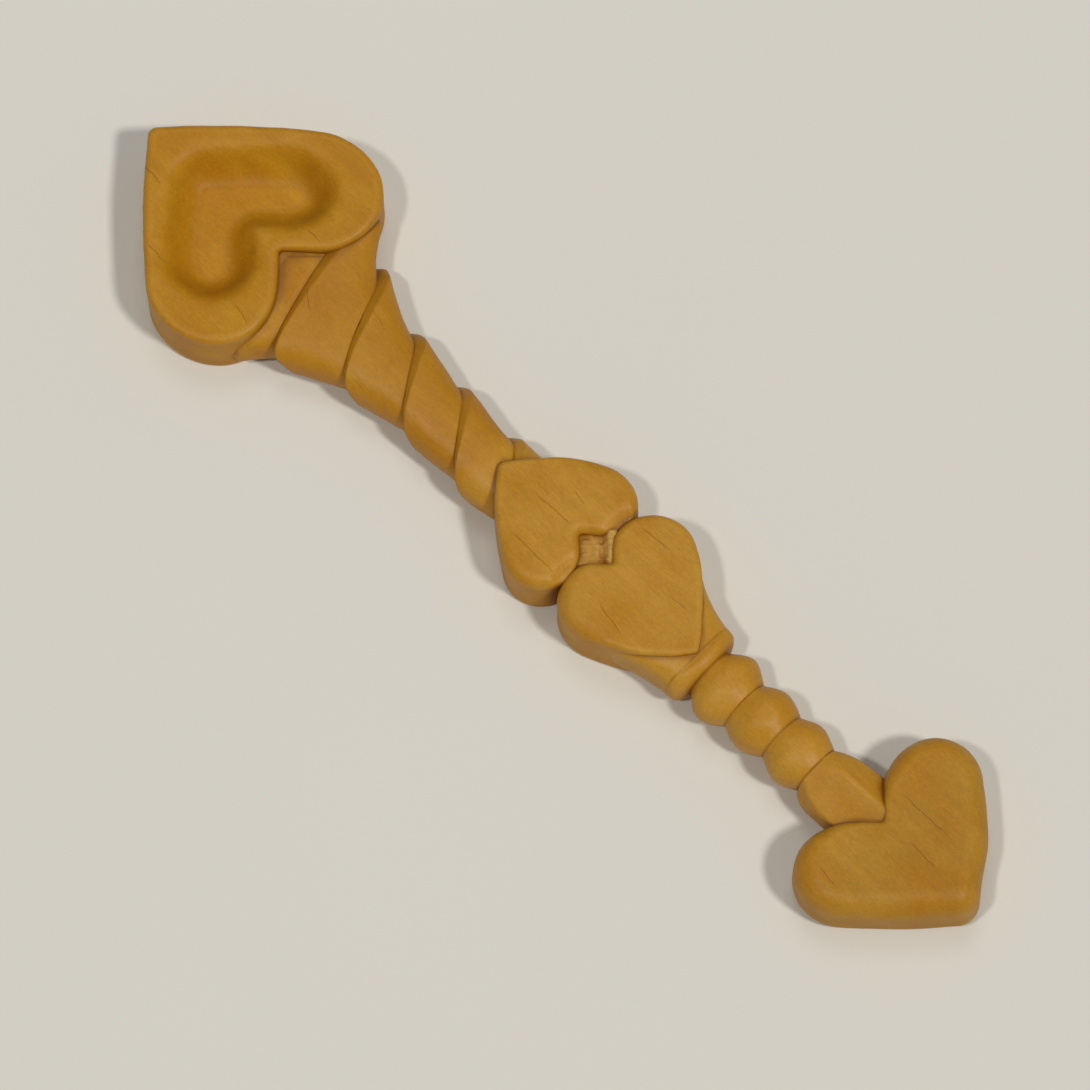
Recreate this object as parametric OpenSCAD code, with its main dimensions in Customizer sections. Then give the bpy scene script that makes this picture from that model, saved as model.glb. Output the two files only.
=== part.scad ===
// Carved love spoon: a heart bowl, a two-strand twist, a pair of hearts, beads, a bud and an end heart.
// It lies flat on its back. X runs along the spoon, from the tip of the bowl to the tip of the end
// heart; Y runs across it; Z = 0 is the flat back. The origin is the middle of the back.
// Each carved element is a closed solid of its own, cut where the carver's stop cuts part it from
// its neighbour, and neighbours meet face to face.

/* [Board] */
// Thickness of the board that the spoon is carved from
board_t = 12.5; // [10:0.5:16]
// Round-over along the back edges
back_edge = 0.6; // [0.2:0.1:1]

/* [Bowl] */
// Length of the heart-shaped bowl, from its tip to the ends of its lobes
bowl_len = 40; // [36:0.5:48]
// Half of the bowl's width
bowl_half_w = 23.6; // [19:0.2:28]
// Radius of the bowl's gently bowed sides
bowl_side_r = 170; // [120:10:900]
// Depth of the bowl's notch, from its tip
bowl_notch = 32.4; // [29:0.2:35]
// Round-over along the bowl's rim
bowl_edge = 1.3; // [0.4:0.1:2]
// Width of the rim between the bowl's tip and its hollow
rim_at_tip = 9.4; // [7:0.2:12]
// Width of the rim beside the hollow's lobes
rim_at_side = 7.2; // [5:0.1:9]
// Width of the rim between the hollow's lobes and the bowl's lobes
rim_at_lobe = 7.4; // [6:0.2:9]
// Width of the rim between the notch of the hollow and the notch of the bowl
rim_at_notch = 5.6; // [4.4:0.2:9]
// Radius of the hollow's bowed sides
hollow_side_r = 130; // [80:10:300]
// Radius of the hollow's corner at the tip
hollow_corner_r = 5.6; // [4.5:0.1:7]
// Depth of the hollow below the rim
hollow_depth = 6.2; // [5:0.2:7]

/* [Twist] */
// Length of the twist, from the notch of the bowl to the tip of the upper heart
twist_len = 54.5; // [44:0.5:66]
// Half of the twist's width where it leaves the bowl
twist_root_half_w = 18.4; // [15:0.2:19]
// Half of the twist's width at its thin end
twist_end_half_w = 7; // [5.8:0.1:8.3]
// Length over which most of the taper is lost
taper_len = 9; // [7:0.2:11]
// How far the twist stays below each face of the board
twist_step = 1; // [0.4:0.1:1.5]
// Length of one full turn of a strand
twist_pitch = 25.2; // [20:0.2:31]
// Turn of the strands at the notch of the bowl
twist_phase = 169; // [90:1:250]
// Depth of the grooves between the strands, as a part of the half width
groove_depth = 0.2; // [0.1:0.01:0.25]
// Place of the strand's crest between its two grooves, towards its steep side
crest_place = 0.8; // [0.6:0.05:0.9]

/* [Heart pair] */
// Length of the upper heart, whose tip points to the bowl
upper_len = 23; // [21:0.2:28]
// Half of the upper heart's width
upper_half_w = 13.3; // [11:0.1:16]
// Depth of the upper heart's notch, from its tip
upper_notch = 18.9; // [16:0.1:20.8]
// Length of the lower heart, whose tip points to the beads
lower_len = 25.4; // [23:0.2:31]
// Half of the lower heart's width
lower_half_w = 13.3; // [11:0.1:16]
// Depth of the lower heart's notch, from its tip
lower_notch = 21.5; // [19:0.1:23.6]
// Radius of the gently bowed sides of the pair
pair_side_r = 48; // [45:5:300]
// Round-over along the top edges of the pair
pair_edge = 1.1; // [0.4:0.1:1.5]
// How far the lobes of the lower heart bite into those of the upper heart
lobe_lap = 0.5; // [0.3:0.1:1]
// Depth of the little square pit between the two notches
pit_depth = 3; // [1.5:0.1:5]

/* [Flare and collar] */
// How far the flare stays below the top of the lower heart
flare_step = 1.4; // [0.8:0.1:2.5]
// Half of the flare's width where it meets the collar
flare_end_half_w = 7.5; // [6:0.1:8]
// Length of the collar, a raised band beyond the tip of the lower heart
collar_len = 2.9; // [2:0.1:4]
// Half of the collar's width
collar_half_w = 7; // [6:0.1:8]

/* [Beads] */
// Lengths of the three beads
bead_lens = [8.4, 8.5, 8.3]; // [7:0.1:10]
// Half widths of the three beads
bead_half_ws = [6.9, 6.4, 6.2]; // [5.5:0.1:8]
// How far the beads stay below each face of the board
bead_step = 0.4; // [0.2:0.1:1]
// Radius at the grooves between the beads
bead_groove_r = 4.6; // [4:0.1:5]

/* [Bud] */
// Length of the bud, from the last groove to the notch of the end heart
bud_len = 15.4; // [13:0.2:19]
// Half of the bud's width
bud_half_w = 6.2; // [5.5:0.1:7.2]
// Distance of the bud's ridge from the centre line
bud_ridge_y = 1.6; // [0:0.1:3]
// How far the bud's ridge stays below the face of the board
bud_ridge_step = 0.8; // [0.3:0.1:2]
// Fall of the bud's two facets from the ridge to the edges
bud_fall = 3.6; // [2:0.1:5]

/* [End heart] */
// Length of the end heart
end_len = 31.2; // [28:0.2:36]
// Half of the end heart's width
end_half_w = 19.3; // [17:0.2:23]
// Radius of the end heart's gently bowed sides
end_side_r = 100; // [80:10:500]
// Depth of the end heart's notch, from its tip
end_notch = 24.4; // [22:0.2:28]
// Round-over along the end heart's top edges
end_edge = 3.6; // [1:0.1:4.5]
// Round-over along the end heart's back edges
end_back_edge = 3; // [0.6:0.1:4]

/* [Fits] */
// Gap between a carved element and the one that it is let into
stop_cut = 0.02; // [0:0.01:0.1]

/* [Hidden] */

// Half of the angle between the two sides of a notch, and the small radii at a heart's corners
notch_angle = 45;
notch_r = 0.35;
bowl_tip_r = 1.5;
pair_tip_r = 1.3;
end_tip_r = 3.9;
// How far the hollow's rounded corner falls short of the sharp corner that its outline starts from
hollow_corner_trim = 1.1;
// Steps along each arc of an outline, round an edge, round a strand, and along one turn of it
arc_steps = 12;
edge_steps = 4;
strand_steps = 14;
turn_steps = 30;
// Steps round a rounded section
section_steps = 28;
// Length by which a cutter runs past what it cuts
past = 1;

// A heart is listed as its length and half width, the radii of its sides and of its tip, and the
// depth of its notch. Its sharp tip is at the origin and its lobes lie towards +X.
bowl_heart = [bowl_len, bowl_half_w, bowl_side_r, bowl_tip_r, bowl_notch];
upper = [upper_len, upper_half_w, pair_side_r, pair_tip_r, upper_notch];
lower = [lower_len, lower_half_w, pair_side_r, pair_tip_r, lower_notch];
end = [end_len, end_half_w, end_side_r, end_tip_r, end_notch];

// Radius of the lobes: the circle that touches the heart's end, its widest place and its notch
function lobe_r(h) =
    (h[1] * cos(notch_angle) - (h[0] - h[4]) * sin(notch_angle))
    / (1 + cos(notch_angle) - sin(notch_angle));
function lobe_centre(h) = [h[0] - lobe_r(h), h[1] - lobe_r(h)];
// Centre of the arc that runs from the sharp tip, along the bowed side, into the lobe
function side_centre(h) =
    let (
        c = lobe_centre(h), r = lobe_r(h), reach = norm(c),
        along = (c * c + 2 * h[2] * r - r * r) / (2 * reach),
        aside = sqrt(h[2] * h[2] - along * along)
    )
    [along * c[0] + aside * c[1], along * c[1] - aside * c[0]] / reach;
// Centre of the tip's small arc, and of the notch's
function tip_centre(h) =
    let (p = side_centre(h), gap = h[2] - h[3])
    [p[0] - sqrt(gap * gap - p[1] * p[1]), 0];
function notch_centre(h) = [h[4] + notch_r / sin(notch_angle), 0];
function tip_x(h) = tip_centre(h)[0] - h[3];

function bearing(v) = atan2(v[1], v[0]);
function arc(c, r, from, to, steps) =
    [for (i = [0:steps]) let (a = from + (to - from) * i / steps) c + r * [cos(a), sin(a)]];
function without_first(list) = [for (i = [1:len(list) - 1]) list[i]];
function backwards(list) = [for (i = [len(list) - 1:-1:0]) list[i]];

// The +Y half of a heart's outline, drawn in by the inset, from its tip to its notch
function half_outline(h, inset) =
    let (
        p = side_centre(h), c = lobe_centre(h), q = tip_centre(h), n = notch_centre(h),
        to_tip = bearing(q - p), to_lobe = bearing(c - p)
    )
    concat(
        arc(q, h[3] - inset, 180, to_tip, edge_steps),
        without_first(arc(p, h[2] - inset, to_tip, to_lobe, edge_steps)),
        without_first(arc(c, lobe_r(h) - inset, to_lobe, notch_angle - 90, arc_steps)),
        arc(n, notch_r + inset, notch_angle + 90, 180, edge_steps)
    );
// The whole outline, anticlockwise seen from above
function outline(h, inset = 0) =
    let (half = half_outline(h, inset), last = len(half) - 1)
    concat(
        [for (i = [0:last - 1]) [half[i][0], -half[i][1]]],
        [for (i = [last:-1:1]) half[i]]
    );
function at_z(points, z) = [for (p = points) [p[0], p[1], z]];

// Insets and heights up the side of a block, round its back edge and its top edge
function edge_profile(top, edge, back) = concat(
    [for (i = [edge_steps:-1:0]) let (a = 90 * i / edge_steps)
        [back * (1 - cos(a)), back * (1 - sin(a))]],
    [for (i = [0:edge_steps]) let (a = 90 * i / edge_steps)
        [edge * (1 - cos(a)), top - edge + edge * sin(a)]]
);

// A solid through a stack of rings, each anticlockwise seen from the far end. The strip of facets
// numbered swap takes its diagonals the other way.
module loft(rings, swap = -1) {
    n = len(rings[0]);
    last = len(rings) - 1;
    strips = [for (k = [0:last - 1], i = [0:n - 1])
        let (a = k * n + i, b = k * n + (i + 1) % n)
        each (i == swap ? [[a, a + n, b], [b, a + n, b + n]] : [[a, a + n, b + n], [a, b + n, b]])];
    near = [for (i = [0:n - 1]) i];
    far = [for (i = [n - 1:-1:0]) last * n + i];
    polyhedron([for (r = rings) each r], concat([near], [far], strips), convexity = 8);
}
module heart_block(h, edge, back = back_edge) {
    loft([for (e = edge_profile(board_t, edge, back)) at_z(outline(h, e[0]), e[1])]);
}
// The prism that a neighbour is cut with, so that it meets the heart face to face
module heart_cutter(h) {
    translate([0, 0, -past])
        linear_extrude(board_t + 2 * past) polygon(outline(h, -stop_cut));
}

// Places along the spoon, measured from the sharp tip of the bowl
twist_x = bowl_notch;
upper_x = twist_x + twist_len;
lower_x = upper_x + upper_len - lobe_lap + lower_len;
collar_x = lower_x;
function bead_x(i) = i == 0 ? collar_x + collar_len : bead_x(i - 1) + bead_lens[i - 1];
bud_x = bead_x(len(bead_lens));
end_x = bud_x + bud_len + end_notch;
spoon_from = tip_x(bowl_heart);
spoon_to = end_x - tip_x(end);
mid_x = (spoon_from + spoon_to) / 2;
mid_z = board_t / 2;

module along(x) {
    translate([x - mid_x, 0, 0]) children();
}
module facing_back() {
    rotate([0, 0, 180]) children();
}

// ---- Bowl ----
hollow_from = rim_at_tip - hollow_corner_trim;
hollow = [
    bowl_len - rim_at_lobe - hollow_from, bowl_half_w - rim_at_side,
    hollow_side_r, hollow_corner_r, bowl_notch - rim_at_notch - hollow_from
];
// Insets and depths down the gouged wall of the hollow, as parts of its reach and its depth
hollow_reach = 4.4;
hollow_wall = [for (i = [0:edge_steps]) let (a = 90 * i / edge_steps)
    [hollow_reach * (1 - cos(a)), hollow_depth * sin(a)]];

module hollow_cutter() {
    floor_up = [for (w = backwards(hollow_wall)) at_z(outline(hollow, w[0]), board_t - w[1])];
    translate([hollow_from, 0, 0])
        loft(concat(floor_up, [at_z(outline(hollow), board_t + past)]));
}
module bowl() {
    color("goldenrod") along(0) difference() {
        heart_block(bowl_heart, bowl_edge);
        hollow_cutter();
    }
}

// ---- Twist ----
twist_from = twist_x - past;
twist_to = upper_x + upper_half_w / 2;
twist_rings = ceil((twist_to - twist_from) / twist_pitch * turn_steps);
taper_from = bowl_len;
twist_half_h = mid_z - twist_step;
function twist_half_w(x) =
    twist_end_half_w
    + (twist_root_half_w - twist_end_half_w) * exp(-max(0, x - taper_from) / taper_len);
// Rise of a strand from groove to groove: a long slope on one side of the crest, a steep one after
function rise(t) =
    t < crest_place ? sin(90 * t / crest_place) : sin(90 * (1 - t) / (1 - crest_place));
function strand_ring(x, phase) =
    let (turn = phase + twist_phase + 360 * (x - twist_x) / twist_pitch, w = twist_half_w(x))
    concat(
        [for (i = [0:strand_steps])
            let (
                t = i / strand_steps,
                a = turn + 180 * t,
                s = 1 - groove_depth + groove_depth * rise(t)
            )
            [x, w * s * cos(a), mid_z + twist_half_h * s * sin(a)]],
        [[x, 0, mid_z]]
    );
module twist_strand(phase) {
    color("goldenrod") difference() {
        along(0) loft(
            [for (k = [0:twist_rings])
                strand_ring(twist_from + (twist_to - twist_from) * k / twist_rings, phase)],
            strand_steps
        );
        along(0) heart_cutter(bowl_heart);
        along(upper_x) heart_cutter(upper);
    }
}

// ---- Heart pair ----
module upper_heart() {
    color("goldenrod") difference() {
        along(upper_x) heart_block(upper, pair_edge);
        along(lower_x) facing_back() heart_cutter(lower);
    }
}
// The tip of the lower heart stands in relief on the flare
module lower_heart() {
    color("goldenrod") along(lower_x) difference() {
        facing_back() heart_block(lower, pair_edge);
        flare_block(stop_cut);
    }
}
// The floor of the square pit between the notches
module pit_floor() {
    from = upper_x + upper_notch;
    to = lower_x - lower_notch;
    half = (to - from) / 2 + notch_r;
    color("peru") difference() {
        along((from + to) / 2) rotate([0, 0, 45])
            translate([-half / sqrt(2), -half / sqrt(2), back_edge])
                cube([half * sqrt(2), half * sqrt(2), board_t - pit_depth - back_edge]);
        along(upper_x) heart_cutter(upper);
        along(lower_x) facing_back() heart_cutter(lower);
    }
}

// ---- Flare and collar ----
// One ring of a rounded section: half width, half height, and squareness, where 2 is an ellipse
function section(x, w, half_h, squareness) = [
    for (i = [0:section_steps - 1])
        let (a = 360 * i / section_steps, c = cos(a), s = sin(a), power = 2 / squareness)
        [x, w * sign(c) * pow(abs(c), power), half_h * sign(s) * pow(abs(s), power)]
];
// The flare begins just past the shoulders of the lower heart and narrows in a long curve
flare_len = lobe_centre(lower)[0];
flare_half_h = (board_t - flare_step) / 2;
function flare_half_w(t) =
    flare_end_half_w + (lower_half_w - flare_end_half_w) * (1 + cos(180 * t)) / 2;
// The section is nearly a rectangle under the lower heart and nearly round at the collar
root_squareness = 8;
end_squareness = 2.5;
function flare_squareness(t) = root_squareness + (end_squareness - root_squareness) * t;
module flare_block(grow = 0) {
    translate([0, 0, flare_half_h]) loft([
        for (i = [0:arc_steps])
            let (t = i / arc_steps)
            section(
                -flare_len * (1 - t), flare_half_w(t) + grow,
                flare_half_h + grow, flare_squareness(t)
            )
    ]);
}
module flare() {
    color("goldenrod") along(lower_x) flare_block();
}
round_squareness = 2;
// A turned length along X, rounded between its middle and its two equal ends
module turned(length, mid_w, mid_half_h, end_r) {
    translate([0, 0, mid_z]) loft([
        for (i = [0:arc_steps])
            let (a = 180 * i / arc_steps, swell = sin(a), x = length * (1 - cos(a)) / 2)
            section(
                x, end_r + (mid_w - end_r) * swell, end_r + (mid_half_h - end_r) * swell, round_squareness
            )
    ]);
}
module collar() {
    color("goldenrod")
        along(collar_x) turned(collar_len, collar_half_w, mid_z, bead_groove_r);
}

// ---- Beads ----
module bead(i) {
    color("goldenrod")
        along(bead_x(i)) turned(bead_lens[i], bead_half_ws[i], mid_z - bead_step, bead_groove_r);
}

// ---- Bud ----
// Length of the round head of the bud, which its widest place halves
bud_head = 9;
bud_side = [for (i = [0:arc_steps]) let (a = 180 * i / arc_steps)
    [bud_head * i / arc_steps, bead_groove_r + (bud_half_w - bead_groove_r) * sin(a)]];
module bud() {
    ridge_z = board_t - bud_ridge_step;
    eave_z = ridge_z - bud_fall;
    color("goldenrod") difference() {
        along(bud_x) intersection() {
            linear_extrude(board_t) polygon(concat(
                [for (p = bud_side) [p[0], -p[1]]],
                [[bud_len + notch_r, 0]],
                backwards(bud_side)
            ));
            rotate([90, 0, 90]) linear_extrude(bud_len + past) polygon([
                [-bud_half_w, back_edge], [bud_half_w, back_edge],
                [bud_half_w, eave_z], [bud_ridge_y, ridge_z], [-bud_half_w, eave_z]
            ]);
        }
        along(end_x) facing_back() heart_cutter(end);
    }
}

// ---- End heart ----
module end_heart() {
    color("goldenrod") along(end_x) facing_back() heart_block(end, end_edge, end_back_edge);
}

bowl();
twist_strand(0);  // twist_strand_a
twist_strand(180);  // twist_strand_b
upper_heart();
pit_floor();
lower_heart();
flare();
collar();
bead(0);  // bead_1
bead(1);  // bead_2
bead(2);  // bead_3
bud();
end_heart();
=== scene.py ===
# %% [markdown]
# # A carved love spoon
# A love spoon is cut from one board with a knife and a gouge: a heart for a bowl, a twist, a pair
# of hearts, three beads, a bud and a last heart. The CAD model gives every carved element its place
# and size. Here each one is carved again, softly, as a hand and sandpaper leave it, and gets the
# look of oiled wood. Lengths below are in millimetres until a piece is finished.

import math

import bmesh
import bpy
import numpy as np
from mathutils import Matrix, Vector, noise
from mathutils.bvhtree import BVHTree


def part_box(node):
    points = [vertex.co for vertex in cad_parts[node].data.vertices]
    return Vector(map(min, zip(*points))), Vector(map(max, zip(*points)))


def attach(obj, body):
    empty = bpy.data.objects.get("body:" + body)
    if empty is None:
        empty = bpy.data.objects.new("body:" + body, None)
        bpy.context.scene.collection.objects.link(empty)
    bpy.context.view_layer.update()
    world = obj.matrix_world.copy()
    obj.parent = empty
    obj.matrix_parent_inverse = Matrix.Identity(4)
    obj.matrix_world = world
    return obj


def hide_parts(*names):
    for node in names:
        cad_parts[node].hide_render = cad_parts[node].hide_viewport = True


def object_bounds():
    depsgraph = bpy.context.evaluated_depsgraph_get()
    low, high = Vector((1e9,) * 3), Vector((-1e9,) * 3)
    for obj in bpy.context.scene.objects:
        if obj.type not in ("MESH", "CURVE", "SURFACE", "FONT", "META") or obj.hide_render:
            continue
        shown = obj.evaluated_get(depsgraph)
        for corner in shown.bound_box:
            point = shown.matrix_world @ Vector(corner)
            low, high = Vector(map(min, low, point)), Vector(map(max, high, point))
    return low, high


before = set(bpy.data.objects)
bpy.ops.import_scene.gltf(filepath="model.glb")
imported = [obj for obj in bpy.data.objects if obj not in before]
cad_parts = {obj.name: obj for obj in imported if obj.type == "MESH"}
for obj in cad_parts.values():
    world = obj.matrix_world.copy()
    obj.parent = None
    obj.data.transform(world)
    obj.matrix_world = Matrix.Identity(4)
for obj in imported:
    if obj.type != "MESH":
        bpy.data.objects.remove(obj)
cad_low, cad_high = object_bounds()
MM = 0.001
LOW = [v / MM for v in cad_low]
HIGH = [v / MM for v in cad_high]
BOARD = HIGH[2]
print("board", round(BOARD, 2), "mm thick,", round(HIGH[0] - LOW[0], 1), "mm long")


def node_box(node):
    """Lowest and highest corner of a CAD node, in millimetres."""
    low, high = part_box(node)
    return [v / MM for v in low], [v / MM for v in high]


# %% [markdown]
# ## Drawing a heart
# Every heart on the spoon is drawn the same way, as a carver does with a compass: a small arc at the
# tip, a long bowed side, a round lobe, and a straight run at 45 degrees into the notch. Each arc is
# a point spun about its centre, so a few numbers give the whole outline. The second half is a mirror
# of the first.

# %% Heart outlines
NOTCH_R = 0.35
NOTCH_TURN = math.radians(45)


def heart(tip_x, facing, length, half_w, side_r, tip_r, notch):
    """A heart with its sharp tip at tip_x. It faces -1 when its tip points along -X."""
    return {
        "tip_x": tip_x, "facing": facing, "length": length, "half_w": half_w,
        "side_r": side_r, "tip_r": tip_r, "notch": notch,
    }


def heart_centres(h):
    """Centres of the arcs of the tip, the side, the lobe and the notch, and the lobe's radius."""
    lobe_r = math.cos(NOTCH_TURN) * (h["half_w"] - h["length"] + h["notch"])
    lobe = Vector((h["length"] - lobe_r, h["half_w"] - lobe_r))
    side_r = h["side_r"]
    along = (lobe.length_squared + 2 * side_r * lobe_r - lobe_r**2) / (2 * lobe.length)
    aside = math.sqrt(side_r**2 - along**2)
    out = lobe.normalized()
    side = Vector((along * out.x + aside * out.y, along * out.y - aside * out.x))
    tip = Vector((side.x - math.sqrt((side_r - h["tip_r"]) ** 2 - side.y**2), 0))
    notch = Vector((h["notch"] + NOTCH_R / math.sin(NOTCH_TURN), 0))
    return tip, side, lobe, lobe_r, notch


def bearing(v):
    return math.atan2(v.y, v.x)


def draw_arc(bm, vert, centre, turn, steps):
    """Spins a point about a centre and gives back the arc's last point."""
    made = bmesh.ops.spin(
        bm, geom=[vert], cent=(centre.x, centre.y, 0), axis=(0, 0, 1), dvec=(0, 0, 0),
        angle=turn, steps=steps, use_merge=False, use_normal_flip=False, use_duplicate=False,
    )
    return next(g for g in made["geom_last"] if isinstance(g, bmesh.types.BMVert))


def heart_face(bm, h):
    """Draws the heart as one flat face on the floor, at its place on the spoon."""
    tip, side, lobe, lobe_r, notch = heart_centres(h)
    to_tip = bearing(tip - side)
    to_lobe = bearing(lobe - side)
    vert = bm.verts.new((tip.x - h["tip_r"], 0, 0))
    vert = draw_arc(bm, vert, tip, to_tip - math.pi, 6)
    vert = draw_arc(bm, vert, side, to_lobe - to_tip, 14)
    vert = draw_arc(bm, vert, lobe, -NOTCH_TURN - to_lobe, 26)
    run = bmesh.ops.extrude_vert_indiv(bm, verts=[vert])["verts"][0]
    corner = NOTCH_R * math.cos(NOTCH_TURN)
    run.co = (notch.x - corner, corner, 0)
    draw_arc(bm, run, notch, NOTCH_TURN, 4)
    bmesh.ops.mirror(
        bm, geom=bm.verts[:] + bm.edges[:], matrix=Matrix.Identity(4), merge_dist=0.001, axis="Y"
    )
    bmesh.ops.scale(bm, vec=(-h["facing"], 1, 1), verts=bm.verts)
    bmesh.ops.translate(bm, vec=(h["tip_x"], 0, 0), verts=bm.verts)
    return bmesh.ops.contextual_create(bm, geom=bm.edges[:])["faces"][0]


def outline_of(h):
    """The heart's outline as an array of points, for measuring distances to it."""
    bm = bmesh.new()
    face = heart_face(bm, h)
    loop = np.array([v.co.to_2d() for v in face.verts])
    bm.free()
    return loop


def depth_inside(loop, x, y):
    """How far each place lies inside an outline; less than 0 outside it."""
    near = np.full(len(x), 1e9)
    inside = np.zeros(len(x), bool)
    for (ax, ay), (bx, by) in zip(loop, np.roll(loop, -1, 0)):
        ex, ey = bx - ax, by - ay
        t = np.clip(((x - ax) * ex + (y - ay) * ey) / (ex * ex + ey * ey), 0, 1)
        near = np.minimum(near, np.hypot(x - ax - t * ex, y - ay - t * ey))
        if ey:
            inside ^= ((ay > y) != (by > y)) & (x < ax + ex * (y - ay) / ey)
    return np.where(inside, near, -near)


# %% [markdown]
# ## Carving
# A block is sawn to its outline and then carved down to a surface. A voxel remesh stands for the
# block's even grain of small faces, the way digital clay does: every corner that moves down to the
# carved surface lies on it exactly, and a second remesh and a little smoothing take off the knife's
# hard edges. The same few helpers make every block-shaped element.

# %% Carving helpers
def to_mesh(bm, name):
    bmesh.ops.recalc_face_normals(bm, faces=bm.faces)
    mesh = bpy.data.meshes.new(name)
    bm.to_mesh(mesh)
    bm.free()
    return mesh


def remeshed(mesh, voxel, smoothing):
    """The same shape in small even faces, smoothed."""
    worker = bpy.data.objects.new("worker", mesh)
    bpy.context.scene.collection.objects.link(worker)
    fuse = worker.modifiers.new("fuse", "REMESH")
    fuse.mode = "VOXEL"
    fuse.voxel_size = voxel
    soften = worker.modifiers.new("soften", "SMOOTH")
    soften.factor = 0.5
    soften.iterations = smoothing
    graph = bpy.context.evaluated_depsgraph_get()
    made = bpy.data.meshes.new_from_object(worker.evaluated_get(graph))
    bpy.data.objects.remove(worker)
    bpy.data.meshes.remove(mesh)
    return made


def places(mesh):
    co = np.empty(len(mesh.vertices) * 3)
    mesh.vertices.foreach_get("co", co)
    return co.reshape(-1, 3)


def put_places(mesh, co):
    mesh.vertices.foreach_set("co", co.ravel())
    mesh.update()


def carved(mesh, voxel, top_of, bottom_of=None, smoothing=3):
    """Carves a block down to the surface top_of(x, y), and its back up to bottom_of(x, y)."""
    mesh = remeshed(mesh, voxel, 0)
    co = places(mesh)
    x, y = co[:, 0], co[:, 1]
    co[:, 2] = np.minimum(co[:, 2], top_of(x, y))
    if bottom_of:
        co[:, 2] = np.maximum(co[:, 2], bottom_of(x, y))
    put_places(mesh, co)
    return remeshed(mesh, voxel, smoothing)


def heart_block(h, height=BOARD):
    bm = bmesh.new()
    face = heart_face(bm, h)
    up = bmesh.ops.extrude_face_region(bm, geom=[face])["geom"]
    bmesh.ops.translate(
        bm, vec=(0, 0, height), verts=[g for g in up if isinstance(g, bmesh.types.BMVert)]
    )
    return to_mesh(bm, "block")


def round_over(d, r):
    """How far a rounded edge of radius r has fallen, at a distance d inside the outline."""
    inner = np.clip(r - d, 0, r)
    return r - np.sqrt(np.maximum(r * r - inner * inner, 0))


def ease(t):
    t = np.clip(t, 0, 1)
    return t * t * (3 - 2 * t)


def soft_edge(d, width):
    """Distance that eases in from nothing instead of starting at a sharp line."""
    return width * np.log1p(np.exp(np.clip(d / width, -30, 30)))


# %% [markdown]
# ## Finishing a piece
# A hand-carved surface is never quite true: it swells and dips by a tenth of a millimetre under the
# knife. Its hearts are also a little askew and its middle is bowed, as its carver followed the
# drawing by eye. Both are put in here, once, so that neighbours still meet. The piece is then
# brought into the CAD box and to metres, and it takes the place of its CAD node.

# %% Finishing helpers
FLAT_BACK = 0.5
FADE_IN = 2
DEEP_ACROSS = 9
FINE_ACROSS = 3
spoon = []
# Places on the board, and how far the knife left each from the true drawing, all in millimetres:
# x, y, shift along, shift across
BY_EYE = np.array((
    (-100, 0, 0, 0.2), (-93, -9, -0.35, 0.05), (-89, -14, -0.65, -0.05),
    (-85, 20, -0.1, 0.35), (-85, -20, -0.9, -0.1), (-70, 0, 0, 0.3),
    (-67, 20, 1.2, 0.35), (-61, 17, 1.2, 0.6), (-67, -20, -0.7, 0.2), (-61, -16, 0.3, -0.5),
    (-57, -14, 0.1, -0.4), (-57, 12, 0.3, 0.2), (-50, -11, 0, -1.4), (-50, 11, 0, 0),
    (-40, -9, 0, -0.3), (-40, 9, 0, -0.2), (-30, -8, 0, 0), (-30, 8, 0, -0.4),
    (-22, -8, 0, -0.25), (-21, 8, 0, -1.1), (-17, -8, 0, -1.4), (-14, 0, 0, 0),
    (-6, -11, -0.1, 0.1), (-6, 11, 0, 0.5), (4, -11, 0.3, 0), (4, 11, 0.8, 0.1),
    (5, 0, -0.4, 0.5), (10, 0, 0.5, 0.5), (12, 11, 1.4, 0.4), (12, -11, 0.3, 1),
    (22, 10, 1.4, 1.1), (22, -10, 0.5, 0.3), (31.6, 0, 1.3, -0.6), (30, -9, 0.5, -1.2),
    (30, 9, 0.5, -0.2), (35, 8, 0.6, -0.5), (37, -8, 0.6, -0.8), (42, -8, 0.6, -0.6),
    (42, 8, 0.6, -0.55), (51, -7, 0.6, 0.1), (51, 7, 0.6, -0.35), (58, -7, 0.6, -0.05),
    (58, 7, 0.6, -0.4), (66, -6, 0.7, 0.1), (66, 6, 0.7, 0), (73, 0, 1, 0.2), (73, -9, -0.2, 0.3),
    (77, -14, -0.75, 0.6), (77, 14, -0.5, 0.95), (72, 12, 0.4, 0.9), (88, -10, -0.7, 1.1),
    (88, 10, -0.6, 1.1), (95, -5, -1.4, 0.9), (100, 0, -1.5, 0.4),
))
EYE_REACH = 5


def by_eye(co):
    """The shift at each place, blended from the nearest known ones."""
    never_none = 1e-12
    apart = co[:, None, :2] - BY_EYE[None, :, :2]
    near = np.exp(-np.sum(apart**2, axis=2) / (2 * EYE_REACH**2)) + never_none
    return near @ BY_EYE[:, 2:] / near.sum(axis=1)[:, None]


def by_hand(mesh, deep, fine):
    """Low swells about 9 mm across and finer ones of 3 mm, away from the flat back."""
    co = places(mesh)
    normals = np.empty(len(co) * 3)
    mesh.vertices.foreach_get("normal", normals)
    swell = np.array([
        deep * noise.noise(Vector(p) / DEEP_ACROSS) + fine * noise.noise(Vector(p) / FINE_ACROSS)
        for p in co
    ])
    swell *= np.clip((co[:, 2] - FLAT_BACK) / FADE_IN, 0, 1)
    put_places(mesh, co + normals.reshape(-1, 3) * swell[:, None])


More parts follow.
